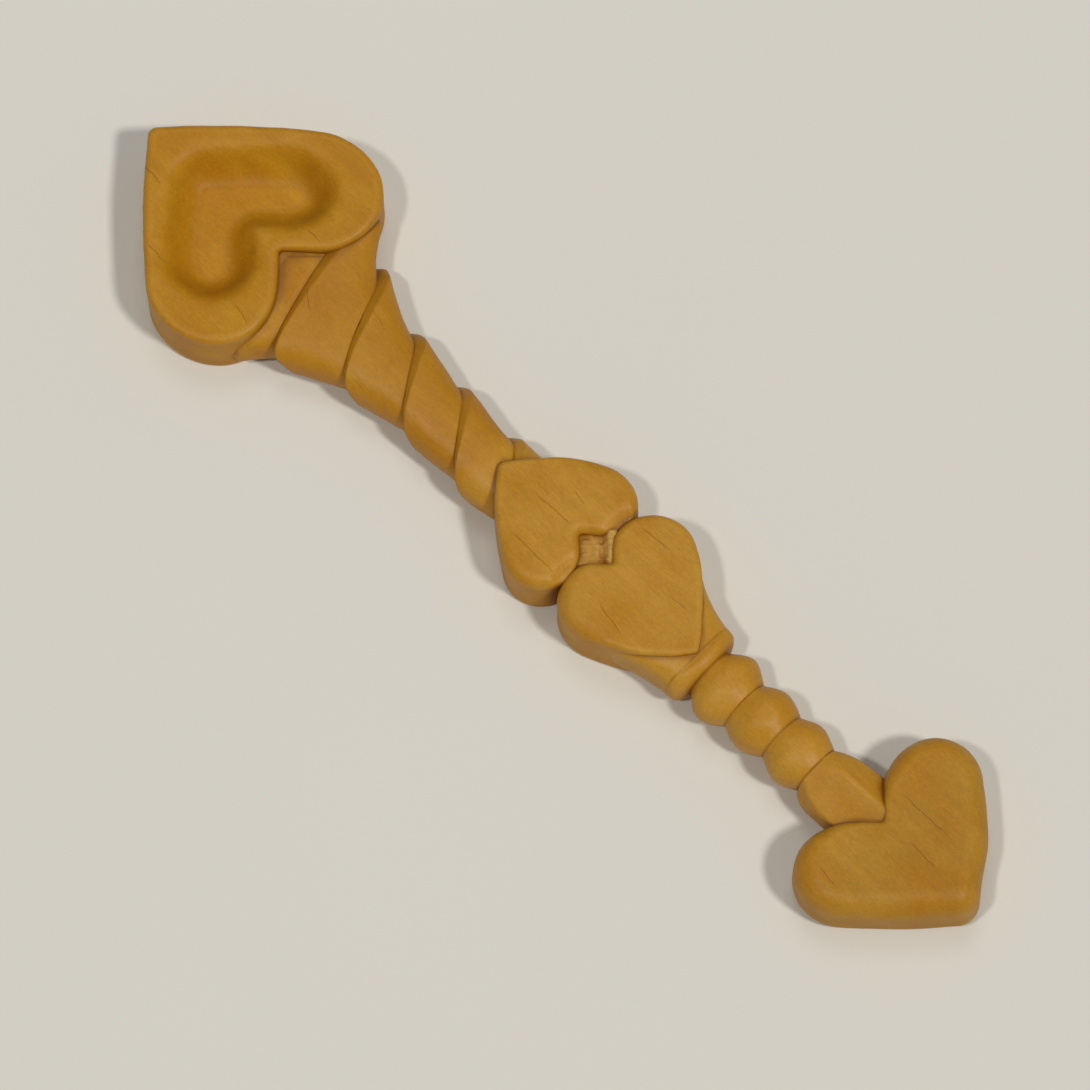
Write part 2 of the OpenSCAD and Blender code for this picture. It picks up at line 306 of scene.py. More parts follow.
def finish_piece(name, mesh, *nodes, deep=0.22, fine=0.07, slot="oiled_wood"):
    by_hand(mesh, deep, fine)
    co = places(mesh)
    co[:, :2] += by_eye(co)
    put_places(mesh, np.clip(co, LOW, HIGH) * MM)
    mesh.shade_smooth()
    mesh.name = name
    piece = bpy.data.objects.new(name, mesh)
    bpy.context.scene.collection.objects.link(piece)
    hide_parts(*nodes)
    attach(piece, "root")
    spoon.append(piece)
    print(name, len(mesh.polygons), "faces")
    return piece


# %% [markdown]
# ## The bowl
# The bowl is a broad heart with a nearly flat rim. Its hollow is a smaller heart, cut with a
# gouge: the edge is softly broken, the wall is steep, and the floor is a broad curve. The side wall
# is left upright. Carving one height for every place on the rim gives the wall and the floor
# together, which cutting a second solid out would not.

# %% Bowl
bowl_high = node_box("bowl")[1]
BOWL_LEN = 40
BOWL_NOTCH = 32.4
BOWL_HALF_W = 23.2
HOLLOW_FROM = 7.3
HOLLOW_LEN = 25.4
HOLLOW_HALF_W = 16.5
HOLLOW_NOTCH = 19.3
HOLLOW_DEPTH = 5.8
HOLLOW_REACH = 5.2
LIP = 0.75
RIM_EDGE = 1.1
BACK_EDGE = 0.7
bowl_tip = bowl_high[0] - BOWL_LEN
bowl_heart = heart(bowl_tip, -1, BOWL_LEN, BOWL_HALF_W, 170, 1.6, BOWL_NOTCH)
hollow_heart = heart(
    bowl_tip + HOLLOW_FROM, -1, HOLLOW_LEN, HOLLOW_HALF_W, 110, 6.4, HOLLOW_NOTCH
)
bowl_loop = outline_of(bowl_heart)
hollow_loop = outline_of(hollow_heart)


def bowl_top(x, y):
    fall = round_over(depth_inside(bowl_loop, x, y), RIM_EDGE)
    d = soft_edge(depth_inside(hollow_loop, x, y), LIP)
    wall = np.sin(np.clip(d / HOLLOW_REACH, 0, 1) * math.pi / 2)
    return BOARD - fall - HOLLOW_DEPTH * wall


def bowl_back(x, y):
    return round_over(depth_inside(bowl_loop, x, y), BACK_EDGE)


bowl_mesh = carved(heart_block(bowl_heart), 0.34, bowl_top, bowl_back, smoothing=2)
finish_piece("bowl", bowl_mesh, "bowl", deep=0.14)

# %% [markdown]
# ## The twist
# Two strands wind round each other like rope, right-handed, and the pair tapers quickly from the
# width of the bowl. Half of a round section is spun about the length with a step forward each time,
# which is a helix. Each strand rises slowly from one groove to its crest and drops steeply into the
# next, so one strand seems to come out from under the other.

# %% Twist
TWIST_LEN = 54.5
TWIST_PITCH = 25.2
TWIST_PHASE = math.radians(169)
TWIST_STEP = 0.42
SECTION_STEPS = 52
GROOVE = 0.22
CREST = 0.89
CREST_SHARP = 0.55
ROOT_HALF_W = 17.9
END_HALF_W = 7
TAPER = 9.2
HIDDEN_LEN = 6.6
SQUARE_AT_ROOT = 3.75
ROUND_LATER = 2.25
ROUND_OVER_LEN = 10
TWIST_HALF_H = BOARD / 2 - 0.9
ROOT_SINK = 0.5
SINK_LEN = 6
twist_x = bowl_tip + BOWL_NOTCH
twist_from = twist_x + 0.15
twist_to = twist_x + TWIST_LEN + HIDDEN_LEN


def strand_reach(t):
    """Reach of a strand's surface from the centre, from one groove, t = 0, to the next, t = 1."""
    if t < CREST:
        rise = CREST_SHARP * t / CREST + (1 - CREST_SHARP) * math.sin(math.pi / 2 * t / CREST)
    else:
        rise = ((1 - t) / (1 - CREST)) ** 0.9
    return 1 - GROOVE * (1 - rise)


def strand(phase):
    bm = bmesh.new()
    start = phase + TWIST_PHASE + math.tau * (twist_from - twist_x) / TWIST_PITCH
    first = bm.verts.new((twist_from, math.cos(start), math.sin(start)))
    bmesh.ops.spin(
        bm, geom=[first], cent=(0, 0, 0), axis=(1, 0, 0), dvec=(0, 0, 0), angle=math.pi,
        steps=SECTION_STEPS, use_merge=False, use_normal_flip=False, use_duplicate=False,
    )
    bm.verts.ensure_lookup_table()
    for i, v in enumerate(bm.verts):
        reach = strand_reach(i / SECTION_STEPS)
        v.co.yz = v.co.yz * reach
    ends = (bm.verts[0], bm.verts[SECTION_STEPS])
    middle = bm.verts.new((twist_from, 0, 0))
    for v in ends:
        bm.edges.new((v, middle))
    steps = round((twist_to - twist_from) / TWIST_STEP)
    forward = (twist_to - twist_from) / steps
    bmesh.ops.spin(
        bm, geom=bm.verts[:] + bm.edges[:], cent=(0, 0, 0), axis=(1, 0, 0),
        dvec=(forward, 0, 0), angle=math.tau * (twist_to - twist_from) / TWIST_PITCH,
        steps=steps, use_merge=False, use_normal_flip=False, use_duplicate=False,
    )
    bmesh.ops.holes_fill(bm, edges=bm.edges, sides=0)
    bmesh.ops.triangulate(bm, faces=[f for f in bm.faces if len(f.verts) > 4])
    for v in bm.verts:
        past_lobes = max(0, v.co.x - bowl_tip - BOWL_LEN)
        still_square = math.exp(-past_lobes / ROUND_OVER_LEN)
        squareness = ROUND_LATER + (SQUARE_AT_ROOT - ROUND_LATER) * still_square
        reach = math.hypot(v.co.y, v.co.z)
        if reach > 0.5:
            c, s = abs(v.co.y) / reach, abs(v.co.z) / reach
            v.co.yz = v.co.yz / (c**squareness + s**squareness) ** (1 / squareness)
        half_w = END_HALF_W + (ROOT_HALF_W - END_HALF_W) * math.exp(-past_lobes / TAPER)
        half_h = TWIST_HALF_H - ROOT_SINK * math.exp(-past_lobes / SINK_LEN)
        v.co.y *= half_w
        v.co.z = BOARD / 2 + v.co.z * half_h
    return to_mesh(bm, "strand")


finish_piece("twist_strand_a", strand(0), "twist_strand_a", fine=0.1)
finish_piece("twist_strand_b", strand(math.pi), "twist_strand_b", fine=0.1)

# %% [markdown]
# ## The pair of hearts
# Two flat hearts meet notch to notch. The lower one lies over the upper one, so its outline is
# whole, and the upper one falls away to it in a wide chamfer. Their edges are broken by a soft
# round-over that is wider at the lobes than at the tips. Between the notches a small square pit is
# picked out with the point of the knife, and its floor is left rough.

# %% Heart pair
lower_low = node_box("lower_heart")[0]
UPPER_LEN = 23
UPPER_NOTCH = 18.9
LOWER_LEN = 25.4
LOWER_NOTCH = 21.5
PAIR_HALF_W = 13.3
UPPER_SINK = 0.15
UPPER_EDGES = (1, 2.3)
LOWER_EDGES = (0.8, 1.7)
LOW_SIDE_EDGE = 3.2
CHAMFER_DROP = 1.5
CHAMFER_REACH = 1.7
PIT_DROP = 0.5
PIT_REACH = 4.5
upper_tip = twist_x + TWIST_LEN
lower_tip = lower_low[0] + LOWER_LEN
upper = heart(upper_tip, -1, UPPER_LEN, PAIR_HALF_W, 48, 1.3, UPPER_NOTCH)
lower = heart(lower_tip, 1, LOWER_LEN, PAIR_HALF_W + 0.2, 42, 0.9, LOWER_NOTCH)
upper_loop = outline_of(upper)
lower_loop = outline_of(lower)
pit_x = (upper_tip + UPPER_NOTCH + lower_tip - LOWER_NOTCH) / 2


def upper_top(x, y):
    d = depth_inside(upper_loop, x, y)
    to_lower = np.maximum(-depth_inside(lower_loop, x, y), 0)
    lobes = ease((x - upper_tip - 6) / 8)
    at_tip, at_lobes = UPPER_EDGES
    edge = round_over(d, at_tip) * (1 - lobes) + round_over(d, at_lobes) * lobes
    to_pit = np.hypot(x - pit_x, y)
    chamfer = CHAMFER_DROP * np.exp(-((to_lower / CHAMFER_REACH) ** 2))
    chamfer = chamfer + PIT_DROP * np.exp(-((to_pit / PIT_REACH) ** 2))
    return BOARD - UPPER_SINK - np.maximum(edge, chamfer)


def lower_top(x, y):
    d = depth_inside(lower_loop, x, y)
    lobes = ease((lower_tip - x - 9) / 9)
    low_side = ease((-y - 3) / 6)
    at_tip, at_lobes = LOWER_EDGES
    edge = round_over(d, at_tip) * (1 - lobes) + round_over(d, at_lobes) * lobes * (1 - low_side)
    edge = edge + round_over(d, LOW_SIDE_EDGE) * lobes * low_side
    return BOARD - edge


def pair_back(loop):
    return lambda x, y: round_over(depth_inside(loop, x, y), BACK_EDGE)


upper_mesh = carved(heart_block(upper), 0.3, upper_top, pair_back(upper_loop))
lower_mesh = carved(heart_block(lower), 0.28, lower_top, pair_back(lower_loop), smoothing=2)
finish_piece("upper_heart", upper_mesh, "upper_heart", deep=0.16)
finish_piece("lower_heart", lower_mesh, "lower_heart", deep=0.16)

# %% [markdown]
# ## The pit
# The floor of the pit is small but it catches the eye, because it is the one place that was never
# smoothed. Short knife strokes cross it, and towards one corner the cut runs up as a steep facet.

# %% Pit floor
PIT_HALF = 5.2
PIT_DEPTH = 2.4
STROKE_DEPTH = 0.35
FACET_RISE = 1.3


def pit_block():
    bm = bmesh.new()
    bmesh.ops.create_cube(bm, size=1)
    side = PIT_HALF * math.sqrt(2)
    bmesh.ops.scale(bm, vec=(side, side, BOARD - 2), verts=bm.verts)
    bmesh.ops.rotate(bm, matrix=Matrix.Rotation(math.radians(45), 3, "Z"), verts=bm.verts)
    bmesh.ops.translate(bm, vec=(pit_x, 0, BOARD / 2), verts=bm.verts)
    return to_mesh(bm, "pit")


def pit_top(x, y):
    along = (x - pit_x + y) / math.sqrt(2)
    aside = (x - pit_x - y) / math.sqrt(2)
    strokes = np.array([
        noise.noise(Vector((a * 0.9, b * 1.6, 3))) + 0.5 * noise.noise(Vector((a * 2.2, b * 2.2, 8)))
        for a, b in zip(along, aside)
    ])
    facet = FACET_RISE * ease((along - 1.1) / 1.3)
    foot = 0.5 * ease((0.4 - np.abs(along - 1)) / 0.5)
    return BOARD - PIT_DEPTH + STROKE_DEPTH * strokes + facet - foot


pit_mesh = carved(pit_block(), 0.2, pit_top, smoothing=1)
pit_floor = finish_piece("pit_floor", pit_mesh, "pit_floor", deep=0, fine=0, slot="tooled_wood")

# %% [markdown]
# ## The flare, the collar and the beads
# Below the hearts the board narrows in a long curve to a collar and three beads, all worked round
# with the knife. A ring is drawn out along the spoon in small steps, and each ring is then set to
# the width, the height and the squareness that the shape has there. A squareness of 2 is an
# ellipse, and a high one is nearly a box.

# %% Rounded lengths
RING = 64


def rounded_length(x_from, x_to, steps, half_w_at, half_h_at, squareness_at):
    """A closed solid of rounded sections between two places along the spoon."""
    bm = bmesh.new()
    bmesh.ops.create_circle(bm, cap_ends=False, segments=RING, radius=1)
    bmesh.ops.rotate(bm, matrix=Matrix.Rotation(math.pi / 2, 3, "Y"), verts=bm.verts)
    bmesh.ops.translate(bm, vec=(x_from, 0, 0), verts=bm.verts)
    ring = bm.edges[:]
    for _ in range(steps):
        made = bmesh.ops.extrude_edge_only(bm, edges=ring)["geom"]
        ring = [g for g in made if isinstance(g, bmesh.types.BMEdge)]
        verts = [g for g in made if isinstance(g, bmesh.types.BMVert)]
        bmesh.ops.translate(bm, vec=((x_to - x_from) / steps, 0, 0), verts=verts)
    for v in bm.verts:
        t = min(max((v.co.x - x_from) / (x_to - x_from), 0), 1)
        power = 2 / squareness_at(t)
        v.co.y = half_w_at(t) * math.copysign(abs(v.co.y) ** power, v.co.y)
        v.co.z = half_h_at(t) * math.copysign(abs(v.co.z) ** power, v.co.z) + BOARD / 2
    bmesh.ops.holes_fill(bm, edges=bm.edges, sides=0)
    bmesh.ops.poke(bm, faces=[f for f in bm.faces if len(f.verts) > 4])
    return to_mesh(bm, "rounded")


FLARE_STEP = 1.5
FLARE_END_HALF_W = 7.3
collar_low, collar_high = node_box("collar")
flare_from = lower_low[0] + 6.8


def flare_half_w(t):
    narrowing = (1 + math.cos(math.pi * t**0.8)) / 2
    return FLARE_END_HALF_W + (PAIR_HALF_W - 0.5 - FLARE_END_HALF_W) * narrowing


def flare_half_h(t):
    return (BOARD - FLARE_STEP - 0.1 * t) / 2


flare_mesh = rounded_length(
    flare_from, collar_low[0] + 0.3, 50, flare_half_w, flare_half_h, lambda t: 7 - 4.4 * t
)
finish_piece("flare", flare_mesh, "flare", deep=0.3)

# %% Collar and beads
GROOVE_R = 4.7
OVERLAP = 0.05
COLLAR_HALF_W = 7.4
COLLAR_HALF_H = 5.5


def barrel(t):
    """From 0 at the groove to 1 at the middle of a bead, with a soft bottom to the groove."""
    return 0.6 * (1 - abs(2 * t - 1) ** 2.1) + 0.4 * (1 - math.cos(math.tau * t)) / 2


def band(t):
    """The collar carries on from the flare and falls only to the first bead."""
    return 1 if t < 0.4 else 1 - ((t - 0.4) / 0.6) ** 2


def bead(node, half_w):
    low, high = node_box(node)
    half_h = BOARD / 2 - 0.35
    return rounded_length(
        low[0] - OVERLAP, high[0] + OVERLAP, 30,
        lambda t: GROOVE_R + (half_w - GROOVE_R) * barrel(t),
        lambda t: GROOVE_R + (half_h - GROOVE_R) * barrel(t),
        lambda t: 2.15,
    )


collar_mesh = rounded_length(
    collar_low[0] - OVERLAP, collar_high[0] + OVERLAP, 30,
    lambda t: GROOVE_R + (COLLAR_HALF_W - GROOVE_R) * band(t),
    lambda t: GROOVE_R + (COLLAR_HALF_H + 0.3 * ease(t / 0.4) - GROOVE_R) * band(t),
    lambda t: 2.6 - 0.45 * ease(t / 0.6),
)
finish_piece("collar", collar_mesh, "collar", deep=0.2, fine=0.1)
for node, half_w in {"bead_1": 6.9, "bead_2": 6.45, "bead_3": 6.3}.items():
    finish_piece(node, bead(node, half_w), node, deep=0.4, fine=0.18)

# %% [markdown]
# ## The bud
# The last bead turns into a bud: its head is round like the others, and its front is cut to two
# flat facets that meet in a ridge beside the centre line and run to a point in the notch of the last
# heart. It is carved as a block from the round outline, down to the lowest of the dome and the two
# facets.

# %% Bud
bud_low = node_box("bud")[0]
end_low = node_box("end_heart")[0]
END_LEN = 31.2
END_NOTCH = 24.4
BUD_HALF_W = 6.3
BUD_HEAD = 9
RIDGE_Y = 1.7
RIDGE_Z = BOARD - 0.7
end_tip = end_low[0] + END_LEN
bud_point = end_tip - END_NOTCH
LET_IN = 1
LEFT_SLOPE = 0.36
RIGHT_SLOPE = 0.62


def bud_block():
    bm = bmesh.new()
    first = bm.verts.new((bud_low[0], GROOVE_R, 0))
    last = draw_arc(bm, first, Vector((bud_low[0] + BUD_HEAD / 2, GROOVE_R)), -math.pi / 2, 12)
    for v in bm.verts:
        v.co.y = GROOVE_R + (v.co.y - GROOVE_R) * (BUD_HALF_W - GROOVE_R) / (BUD_HEAD / 2)
    side = bmesh.ops.extrude_vert_indiv(bm, verts=[last])["verts"][0]
    side.co = (bud_point + LET_IN - BUD_HALF_W, BUD_HALF_W, 0)
    point = bmesh.ops.extrude_vert_indiv(bm, verts=[side])["verts"][0]
    point.co = (bud_point + LET_IN, 0, 0)
    back = bmesh.ops.extrude_vert_indiv(bm, verts=[first])["verts"][0]
    back.co = (bud_low[0], 0, 0)
    bmesh.ops.mirror(
        bm, geom=bm.verts[:] + bm.edges[:], matrix=Matrix.Identity(4), merge_dist=0.001, axis="Y"
    )
    face = bmesh.ops.contextual_create(bm, geom=bm.edges[:])["faces"][0]
    up = bmesh.ops.extrude_face_region(bm, geom=[face])["geom"]
    bmesh.ops.translate(
        bm, vec=(0, 0, BOARD), verts=[g for g in up if isinstance(g, bmesh.types.BMVert)]
    )
    return to_mesh(bm, "bud")


def bud_top(x, y):
    left = RIDGE_Z - (RIDGE_Y - y) * LEFT_SLOPE
    right = RIDGE_Z - (y - RIDGE_Y) * RIGHT_SLOPE
    t = np.clip((x - bud_low[0]) / BUD_HEAD, 0, 1)
    half_h = GROOVE_R + (BOARD / 2 - 0.3 - GROOVE_R) * (1 - (1 - t) ** 1.5)
    rise = 1 - np.clip(1 - 1.4 * t, 0, 1) ** 2.1
    half_w = GROOVE_R + (BUD_HALF_W + 0.1 - GROOVE_R) * rise
    round_side = np.maximum(1 - np.abs(y / half_w) ** 2.3, 0) ** (1 / 2.3)
    dome = BOARD / 2 + half_h * round_side
    return np.minimum(np.minimum(left, right), dome)


def bud_back(x, y):
    return BOARD - bud_top(x, 0.8 * y) + 0.4


bud_mesh = carved(bud_block(), 0.24, bud_top, bud_back, smoothing=1)
finish_piece("bud", bud_mesh, "bud", deep=0.15, fine=0.08)

# %% [markdown]
# ## The end heart
# The last heart is the thickest and softest: it is rounded over on both faces like a pebble, and
# only beside its notch, where the bud was cut free, does its wall stay upright with a crisp edge.

# %% End heart
END_HALF_W = 19.2
end_shape = heart(end_tip, 1, END_LEN, END_HALF_W, 90, 4.2, END_NOTCH)
end_loop = outline_of(end_shape)


def end_radius(x, y):
    from_notch = np.hypot(x - bud_point, y)
    return 1.0 + 2.9 * ease((from_notch - 3) / 8)


def end_top(x, y):
    d = depth_inside(end_loop, x, y)
    return BOARD - round_over(d, end_radius(x, y)) - 0.35 * np.exp(-np.maximum(d, 0) / 3)


def end_back(x, y):
    return round_over(depth_inside(end_loop, x, y), 3)


end_mesh = carved(heart_block(end_shape), 0.34, end_top, end_back, smoothing=4)
finish_piece("end_heart", end_mesh, "end_heart", deep=0.2)

# %% [markdown]
# ## Where painted shade and wear gather
# The material paints shade, as a warm brown, into the grooves, the hollow and the foot of every step,
# where little light reaches. It lightens what stands out, partly as rubbed wear and partly as a
# painted highlight. Both are measured from the finished shape. From each corner a few short rays look
# outwards, and the share that meets wood is its occlusion, which sets the painted shade. How far a
# corner stands above its neighbours' average is its edge. The two are stored as attributes that the
# material reads.

# %% Occlusion for painted shade, and edge attributes
SHADE_RAY_REACH = 5 * MM
RAYS = 10


def ray_fan():
    """Directions spread evenly over a dome, more of them near its top."""
    fan = []
    for i in range(RAYS):
        turn = i * math.pi * (3 - math.sqrt(5))
        up = math.sqrt(1 - (i + 0.5) / RAYS)
        out = math.sqrt(1 - up * up)
        fan.append(Vector((out * math.cos(turn), out * math.sin(turn), up)))
    return fan


def neighbours_mean(values, ends, count):
    total = np.zeros((len(count),) + values.shape[1:])
    np.add.at(total, ends[:, 0], values[ends[:, 1]])
    np.add.at(total, ends[:, 1], values[ends[:, 0]])
    return total / count.reshape((-1,) + (1,) * (values.ndim - 1))


all_verts = []
all_faces = []
for piece in spoon:
    start = len(all_verts)
    all_verts.extend(v.co.copy() for v in piece.data.vertices)
    all_faces.extend([start + i for i in p.vertices] for p in piece.data.polygons)
tree = BVHTree.FromPolygons(all_verts, all_faces)
fan = ray_fan()
# Occlusion from short rays, which the material paints in as shade
for piece in spoon:
    mesh = piece.data
    ends = np.empty(len(mesh.edges) * 2, int)
    mesh.edges.foreach_get("vertices", ends)
    ends = ends.reshape(-1, 2)
    count = np.maximum(np.bincount(ends.ravel(), minlength=len(mesh.vertices)), 1)
    painted_shade = np.zeros(len(mesh.vertices))
    for i, v in enumerate(mesh.vertices):
        n = v.normal
        turned = n.to_track_quat("Z", "Y").to_matrix()
        start = v.co + n * 0.00012
        for ray in fan:
            hit = tree.ray_cast(start, turned @ ray, SHADE_RAY_REACH)
            if hit[3] is not None:
                painted_shade[i] += 1 - hit[3] / SHADE_RAY_REACH
    painted_shade /= RAYS
    co = places(mesh)
    normals = np.empty(len(co) * 3)
    mesh.vertices.foreach_get("normal", normals)
    mean = co
    for _ in range(5):
        mean = neighbours_mean(mean, ends, count)
    edge = ((co - mean) * normals.reshape(-1, 3)).sum(1) / MM
    for _ in range(3):
        painted_shade = neighbours_mean(painted_shade, ends, count)
    edge = neighbours_mean(edge, ends, count)
    for name, values in (("painted_shade", painted_shade), ("edge", edge)):
        mesh.attributes.new(name, "FLOAT", "POINT").data.foreach_set("value", values)
print("painted shade share", round(float(painted_shade.mean()), 3))

# %% [markdown]
# ## The wood
# The wood is pale and close-grained, and its oil has gone honey-gold. Its grain runs along the
# spoon: fine silky fibres, soft growth bands, and here and there a dark thread a few millimetres
# long. All of it is one shader group on Object coordinates, so the grain runs on from piece to
# piece, as it does in one board.

# %% Node helpers
def add(tree, kind, inputs=None, **settings):
    """Adds a node, sets its fields, and fills its inputs with values or links."""
    node = tree.nodes.new(kind)
    for key, value in settings.items():
        setattr(node, key, value)
    for key, value in (inputs or {}).items():
        if isinstance(value, bpy.types.NodeSocket):
            tree.links.new(value, node.inputs[key])
        else:
            node.inputs[key].default_value = value
    return node


def new_group(name, inputs, outputs):
    tree = bpy.data.node_groups.new(name, "ShaderNodeTree")
    for label, kind, value in inputs:
        socket = tree.interface.new_socket(label, in_out="INPUT", socket_type=kind)
        if value is not None:
            socket.default_value = value
    for label, kind in outputs:
        tree.interface.new_socket(label, in_out="OUTPUT", socket_type=kind)
    return tree, add(tree, "NodeGroupInput").outputs, add(tree, "NodeGroupOutput").inputs


def stretched(tree, place, scale):
    """Object coordinates in millimetres, squeezed along each axis."""
    return add(
        tree, "ShaderNodeMapping", {"Vector": place, "Scale": [s / MM for s in scale]}
    ).outputs["Vector"]


def between(tree, value, low, high, to_low=0.0, to_high=1.0, kind="SMOOTHSTEP"):
    return add(
        tree, "ShaderNodeMapRange",
        {"Value": value, "From Min": low, "From Max": high, "To Min": to_low, "To Max": to_high},
        interpolation_type=kind,
    ).outputs["Result"]


def maths(tree, how, a, b=None):
    node = add(tree, "ShaderNodeMath", {0: a}, operation=how)
    if isinstance(b, bpy.types.NodeSocket):
        tree.links.new(b, node.inputs[1])
    elif b is not None:
        node.inputs[1].default_value = b
    return node.outputs[0]


def blend(tree, how, factor, a, b):
    node = add(tree, "ShaderNodeMix", data_type="RGBA", blend_type=how)
    for index, value in ((0, factor), (6, a), (7, b)):
        if isinstance(value, bpy.types.NodeSocket):
            tree.links.new(value, node.inputs[index])
        else:
            node.inputs[index].default_value = value
    return node.outputs[2]


FLOAT = "NodeSocketFloat"
COLOR = "NodeSocketColor"
VECTOR = "NodeSocketVector"

# %% Grain group
grain_tree, given, out = new_group(
    "grain",
    [("Place", VECTOR, None)],
    [("Fibres", FLOAT), ("Bands", FLOAT), ("Threads", FLOAT), ("Clouds", FLOAT), ("Pores", FLOAT)],
)
place = given["Place"]
warp = add(
    grain_tree, "ShaderNodeTexNoise",
    {"Vector": stretched(grain_tree, place, (0.03, 0.06, 0.06)), "Scale": 1.0, "Detail": 2.0},
).outputs["Color"]
bent = add(
    grain_tree, "ShaderNodeVectorMath", {0: warp, 1: (0, 0.004, 0.004)}, operation="MULTIPLY"
).outputs[0]
bent = add(grain_tree, "ShaderNodeVectorMath", {0: place, 1: bent}, operation="ADD").outputs[0]
fibres = add(
    grain_tree, "ShaderNodeTexNoise",
    {"Vector": stretched(grain_tree, bent, (0.22, 3.0, 3.0)), "Scale": 1.0, "Detail": 4.0,
     "Roughness": 0.6},
).outputs["Fac"]
grain_tree.links.new(fibres, out["Fibres"])
bands = add(
    grain_tree, "ShaderNodeTexNoise",
    {"Vector": stretched(grain_tree, bent, (0.012, 0.33, 0.2)), "Scale": 1.0, "Detail": 3.0,
     "Roughness": 0.55},
).outputs["Fac"]
grain_tree.links.new(between(grain_tree, bands, 0.3, 0.7), out["Bands"])
cells = add(
    grain_tree, "ShaderNodeTexVoronoi",
    {"Vector": stretched(grain_tree, bent, (0.026, 0.62, 0.03)), "Scale": 1.0, "Randomness": 1.0},
)
thread = between(grain_tree, cells.outputs["Distance"], 0.03, 0.075, 1.0, 0.0)
chosen = add(grain_tree, "ShaderNodeSeparateColor", {"Color": cells.outputs["Color"]}).outputs[0]
chosen = between(grain_tree, chosen, 0.55, 0.62)
grain_tree.links.new(maths(grain_tree, "MULTIPLY", thread, chosen), out["Threads"])
clouds = add(
    grain_tree, "ShaderNodeTexNoise",
    {"Vector": stretched(grain_tree, place, (0.09, 0.13, 0.13)), "Scale": 1.0, "Detail": 4.0},
).outputs["Fac"]
grain_tree.links.new(between(grain_tree, clouds, 0.3, 0.7), out["Clouds"])
pores = add(
    grain_tree, "ShaderNodeTexNoise",
    {"Vector": stretched(grain_tree, bent, (1.1, 5.0, 5.0)), "Scale": 1.0, "Detail": 2.0},
).outputs["Fac"]
grain_tree.links.new(between(grain_tree, pores, 0.6, 0.72), out["Pores"])
print("grain group has", len(grain_tree.nodes), "nodes")

# %% [markdown]
# Painted shade and wear are a second group, because both finishes of the wood share them. It takes a
# colour and the two measured attributes, paints shade as a warm brown into the occluded places and
# the creases, and lightens the edges that stand out, partly as rubbed wear and partly as a painted
# highlight.

# %% Painted shade and wear group
shade_and_worn_edge_tree, given, out = new_group(
    "painted shade and worn edges",
    [("Color", COLOR, (1, 1, 1, 1)), ("Shade colour", COLOR, (0.3, 0.1, 0.01, 1)),
     ("Mottle", FLOAT, 0.5), ("Shade strength", FLOAT, 1.0), ("Worn edge and highlight", FLOAT, 1.0)],
    [("Color", COLOR), ("Painted shade", FLOAT), ("Edge", FLOAT)],
)
# Painted shade: the ray occlusion darkens the colour towards the shade colour
painted_shade = add(shade_and_worn_edge_tree, "ShaderNodeAttribute", attribute_name="painted_shade").outputs["Fac"]
edge = add(shade_and_worn_edge_tree, "ShaderNodeAttribute", attribute_name="edge").outputs["Fac"]
patchy = between(shade_and_worn_edge_tree, given["Mottle"], 0.0, 1.0, 0.7, 1.3, "LINEAR")
painted_shade = maths(shade_and_worn_edge_tree, "MULTIPLY", painted_shade, patchy)
painted_shade = maths(shade_and_worn_edge_tree, "MULTIPLY", between(shade_and_worn_edge_tree, painted_shade, 0.04, 0.42), given["Shade strength"])
# Creases that lie below their neighbours get painted shade as well
crease_shade = between(shade_and_worn_edge_tree, edge, -0.03, -0.002, 1.0, 0.0)
painted_shade = maths(shade_and_worn_edge_tree, "MAXIMUM", painted_shade, maths(shade_and_worn_edge_tree, "MULTIPLY", crease_shade, 0.22))
# Edges that stand out are lightened, partly as rubbed wear and partly as a painted highlight
worn_edge_and_highlight = maths(shade_and_worn_edge_tree, "MULTIPLY", between(shade_and_worn_edge_tree, edge, 0.008, 0.05), given["Worn edge and highlight"])
colour = blend(shade_and_worn_edge_tree, "MIX", painted_shade, given["Color"], given["Shade colour"])
highlight_and_worn_colour = blend(shade_and_worn_edge_tree, "MIX", 0.5, given["Color"], (0.9, 0.55, 0.12, 1))
colour = blend(shade_and_worn_edge_tree, "MIX", maths(shade_and_worn_edge_tree, "MULTIPLY", worn_edge_and_highlight, 0.12), colour, highlight_and_worn_colour)
shade_and_worn_edge_tree.links.new(colour, out["Color"])
shade_and_worn_edge_tree.links.new(painted_shade, out["Painted shade"])
shade_and_worn_edge_tree.links.new(worn_edge_and_highlight, out["Edge"])
print("painted shade and worn edges group has", len(shade_and_worn_edge_tree.nodes), "nodes")

# %% [markdown]
# A few threads and checks in the wood are long enough to be known by their place: a short check from
# the edge of the bowl, and fine dark lines along the grain of the hearts. Each is a line between two
# places on the face of the board, a little unsteady, that fades at its ends.

# %% Hairline group
hair_tree, given, out = new_group(
    "hairline",
    [("Place", VECTOR, None), ("Start", VECTOR, None), ("Run", VECTOR, None),
     ("Width", FLOAT, 0.1)],
    [("Line", FLOAT)],
)
flat = add(
    hair_tree, "ShaderNodeVectorMath", {0: given["Place"], 1: (1, 1, 0)}, operation="MULTIPLY"
).outputs[0]
waver = add(
    hair_tree, "ShaderNodeTexNoise",
    {"Vector": stretched(hair_tree, flat, (0.45, 0.45, 0.45)), "Scale": 1.0, "Detail": 2.0},
).outputs["Fac"]
from_start = add(
    hair_tree, "ShaderNodeVectorMath", {0: flat, 1: given["Start"]}, operation="SUBTRACT"
).outputs[0]
along = add(
    hair_tree, "ShaderNodeVectorMath", {0: from_start, 1: given["Run"]}, operation="DOT_PRODUCT"
).outputs["Value"]
whole = add(
    hair_tree, "ShaderNodeVectorMath", {0: given["Run"], 1: given["Run"]}, operation="DOT_PRODUCT"
).outputs["Value"]
t = maths(hair_tree, "DIVIDE", along, whole)
